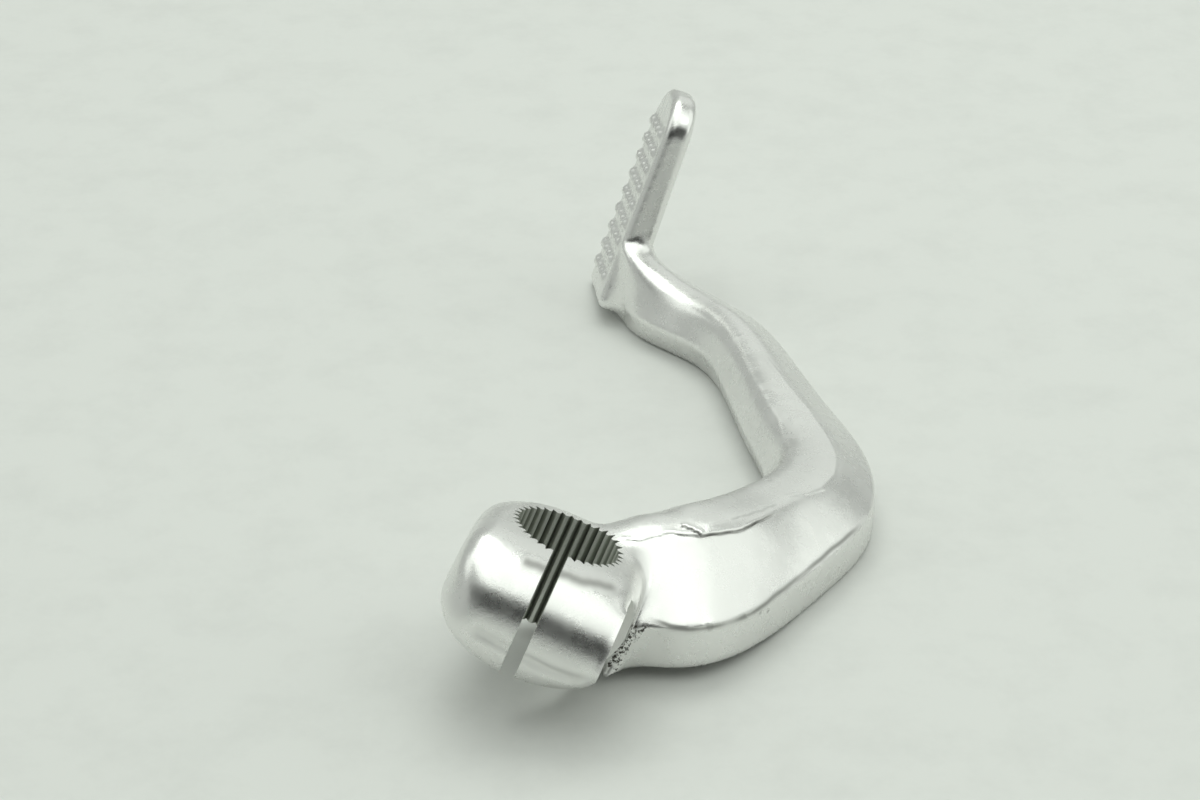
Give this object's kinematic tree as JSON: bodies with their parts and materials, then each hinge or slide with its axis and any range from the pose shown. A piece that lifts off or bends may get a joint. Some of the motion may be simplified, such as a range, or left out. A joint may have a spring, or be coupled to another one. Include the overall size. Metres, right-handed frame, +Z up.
{
  "type": "brake pedal",
  "caption": "Forged aluminium motorbike brake pedal: a split, serrated clamp boss for the brake shaft, a cranked arm and a toothed toe pad.",
  "frame": {"origin": "middle of the serrated bore", "axes": "+Z up from the flat underside that the pedal lies on, +Y from the bore towards the toe pad, +X towards the elbow of the arm"},
  "size_m": [0.0688, 0.154, 0.0397],
  "materials": {
    "forged_aluminium": "satin polished forging"
  },
  "bodies": {
    "root": {"brake_pedal": "forged_aluminium"}
  },
  "joints": []
}
